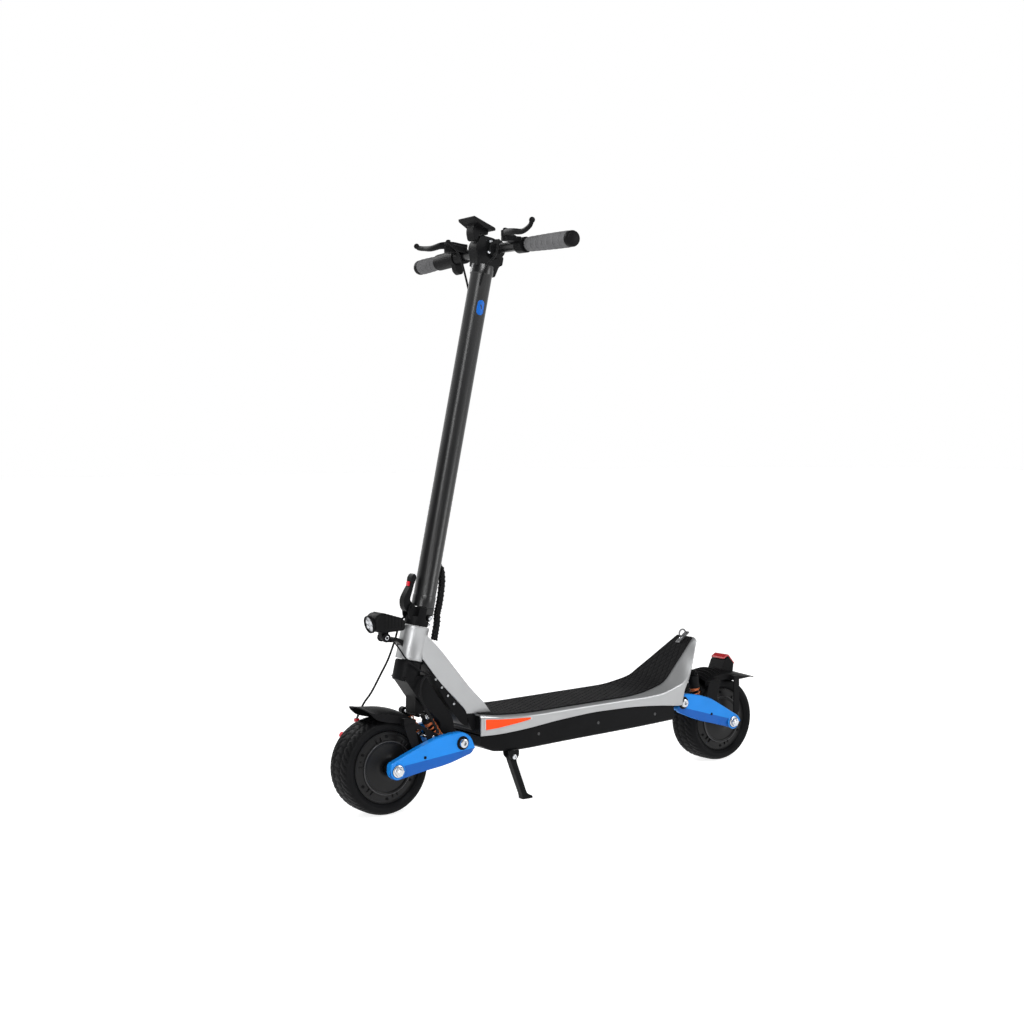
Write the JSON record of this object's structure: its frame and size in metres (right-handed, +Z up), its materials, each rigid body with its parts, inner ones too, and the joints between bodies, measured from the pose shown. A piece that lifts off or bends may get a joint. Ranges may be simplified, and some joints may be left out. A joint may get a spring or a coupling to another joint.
{
  "type": "electric kick scooter",
  "caption": "Electric kick scooter: suspended hub-motor wheels on blue swingarms, silver deck and neck, folding black stem with handlebar, levers, grips and display.",
  "frame": {"origin": "on the floor, in the middle of the overall length and width", "axes": "+X towards the front wheel, +Y to the rider's left, +Z up"},
  "size_m": [1.1715, 0.6024, 1.2693],
  "materials": {
    "silver_paint": "satin silver paint",
    "black_paint": "satin black powder coat",
    "blue_paint": "satin metallic blue",
    "black_plastic": "fine-grained black plastic",
    "tyre": "moulded tyre rubber",
    "cable_rubber": "rubber sheath",
    "mat_rubber": "embossed rubber mat",
    "grip_foam": "grey ribbed grip",
    "steel": "zinc plated steel",
    "copper_spring": "copper coloured spring",
    "orange_lens": "orange reflector with a pale border",
    "red_lens": "translucent red lens",
    "red_plastic": "red button",
    "battery_wrap": "heat-shrunk battery wrap",
    "cast_aluminium": "cast aluminium housing"
  },
  "bodies": {
    "chassis": {"deck_frame": "silver_paint", "neck_beam": "silver_paint", "battery_tray": "black_paint", "battery_pack": "battery_wrap", "motor_controller": "cast_aluminium", "deck_mat": "mat_rubber", "reflector_left": "orange_lens", "reflector_right": "orange_lens", "headset_bearing_lower": "steel", "headset_bearing_upper": "steel", "headlight_bracket": "black_paint", "catch_ring": "steel", "stem_cable_lower": "cable_rubber"},
    "steering": {"fork": "black_paint", "fold_base": "black_paint", "front_brake_cable": "cable_rubber", "motor_cable": "cable_rubber", "stem_cable_upper": "cable_rubber"},
    "front_arm": {"front_swingarm": "blue_paint", "front_pivot_bolt": "steel", "front_motor_axle": "steel", "front_fender": "black_plastic", "front_caliper": "black_paint"},
    "front_wheel": {"front_hub_motor": "black_paint", "front_tyre": "tyre", "front_brake_disc": "steel"},
    "rear_arm": {"rear_swingarm": "blue_paint", "rear_pivot_bolt": "steel", "rear_motor_axle": "steel", "rear_fender": "black_plastic", "rear_caliper": "black_paint", "tail_light_lens": "red_lens"},
    "rear_wheel": {"rear_hub_motor": "black_paint", "rear_tyre": "tyre", "rear_brake_disc": "steel"},
    "front_shock_upper": {"front_shock_bodies": "black_paint", "front_spring_left": "copper_spring", "front_spring_right": "copper_spring"},
    "front_shock_lower": {"front_shock_rods": "steel"},
    "rear_shock_upper": {"rear_shock_bodies": "black_paint", "rear_spring_left": "copper_spring", "rear_spring_right": "copper_spring"},
    "rear_shock_lower": {"rear_shock_rod_left": "steel", "rear_shock_rod_right": "steel"},
    "stem": {"stem_tube": "black_paint", "handlebar": "black_paint", "grip_left": "grip_foam", "grip_right": "grip_foam", "display": "black_plastic", "brake_perch_left": "black_paint", "throttle_housing": "black_plastic", "handlebar_cables": "cable_rubber"},
    "latch_lever": {"latch_lever": "black_paint"},
    "latch_button": {"latch_button": "red_plastic"},
    "brake_lever_left": {"brake_lever_left": "black_paint"},
    "brake_lever_right": {"brake_lever_right": "black_paint"},
    "thumb_throttle": {"thumb_throttle": "black_plastic"},
    "display_button": {"display_button": "black_plastic"},
    "kickstand": {"kickstand": "black_paint"},
    "headlight": {"headlight": "black_plastic"}
  },
  "joints": [
    {"name": "steering", "type": "hinge", "parent": "chassis", "child": "steering", "pos_m": [0.4842, 0, 0], "axis": [-0.2311, 0, 0.9729], "range_deg": [-40, 40]},
    {"name": "front_suspension", "type": "hinge", "parent": "steering", "child": "front_arm", "pos_m": [0.324, 0, 0.142], "axis": [0, -1, 0], "range_deg": [0, 7], "stiffness_Nm_per_rad": 400, "springref_deg": -4.3, "deforming": ["front_brake_cable", "motor_cable"]},
    {"name": "front_wheel", "type": "hinge", "parent": "front_arm", "child": "front_wheel", "pos_m": [0.484, 0, 0.1015], "axis": [0, 1, 0], "continuous": true},
    {"name": "rear_suspension", "type": "hinge", "parent": "chassis", "child": "rear_arm", "pos_m": [-0.3015, 0, 0.164], "axis": [0, 1, 0], "range_deg": [0, 7], "stiffness_Nm_per_rad": 400, "springref_deg": -4.3},
    {"name": "rear_wheel", "type": "hinge", "parent": "rear_arm", "child": "rear_wheel", "pos_m": [-0.4638, 0, 0.1015], "axis": [0, 1, 0], "continuous": true},
    {"name": "front_shock_swing", "type": "hinge", "parent": "steering", "child": "front_shock_upper", "pos_m": [0.397, 0, 0.203], "axis": [0, 1, 0], "range_deg": [-1, 4]},
    {"name": "front_shock_slide", "type": "slide", "parent": "front_shock_upper", "child": "front_shock_lower", "axis": [0.548, 0, 0.8365], "range_m": [0, 0.0045], "deforming": ["front_spring_left", "front_spring_right"]},
    {"name": "rear_shock_swing", "type": "hinge", "parent": "chassis", "child": "rear_shock_upper", "pos_m": [-0.36, 0, 0.226], "axis": [0, 1, 0], "range_deg": [-1, 4]},
    {"name": "rear_shock_slide", "type": "slide", "parent": "rear_shock_upper", "child": "rear_shock_lower", "axis": [0.156, 0, 0.9878], "range_m": [0, 0.009], "deforming": ["rear_spring_left", "rear_spring_right"]},
    {"name": "stem_fold", "type": "hinge", "parent": "steering", "child": "stem", "pos_m": [0.37112, 0, 0.40688], "axis": [0, -1, 0], "range_deg": [0, 82], "deforming": ["stem_cable_upper", "stem_cable_lower"]},
    {"name": "latch_lever", "type": "hinge", "parent": "steering", "child": "latch_lever", "pos_m": [0.40829, 0, 0.43215], "axis": [0, 1, 0], "range_deg": [0, 85]},
    {"name": "latch_button", "type": "slide", "parent": "latch_lever", "child": "latch_button", "axis": [-0.9729, 0, -0.2311], "range_m": [0, 0.001], "stiffness_N_per_m": 400},
    {"name": "brake_lever_left", "type": "hinge", "parent": "stem", "child": "brake_lever_left", "pos_m": [0.232, 0.11375, 1.22273], "axis": [0, 0.0358, 0.9994], "range_deg": [0, 14], "stiffness_Nm_per_rad": 2, "springref_deg": -8.59},
    {"name": "brake_lever_right", "type": "hinge", "parent": "stem", "child": "brake_lever_right", "pos_m": [0.232, -0.10775, 1.22295], "axis": [0, 0.0358, -0.9994], "range_deg": [0, 14], "stiffness_Nm_per_rad": 2, "springref_deg": -8.59},
    {"name": "thumb_throttle", "type": "hinge", "parent": "stem", "child": "thumb_throttle", "pos_m": [0.191, -0.05, 1.203], "axis": [0, -0.9994, -0.0358], "range_deg": [0, 45], "stiffness_Nm_per_rad": 0.2, "springref_deg": -8.59},
    {"name": "display_button", "type": "slide", "parent": "stem", "child": "display_button", "axis": [0.3746, 0, -0.9272], "range_m": [0, 0.001], "stiffness_N_per_m": 400},
    {"name": "kickstand", "type": "hinge", "parent": "chassis", "child": "kickstand", "pos_m": [0.196, 0.075, 0.098], "axis": [0, 1, 0], "range_deg": [0, 68]},
    {"name": "headlight_tilt", "type": "hinge", "parent": "chassis", "child": "headlight", "pos_m": [0.47, 0, 0.371], "axis": [0, 1, 0], "range_deg": [-10, 15]}
  ],
  "couplings": [
    {"joint": "front_shock_swing", "follows": "front_suspension", "ratio": 0.3445},
    {"joint": "front_shock_slide", "follows": "front_suspension", "m_per_rad": 0.02614},
    {"joint": "rear_shock_swing", "follows": "rear_suspension", "ratio": 0.3057},
    {"joint": "rear_shock_slide", "follows": "rear_suspension", "m_per_rad": 0.06823}
  ]
}
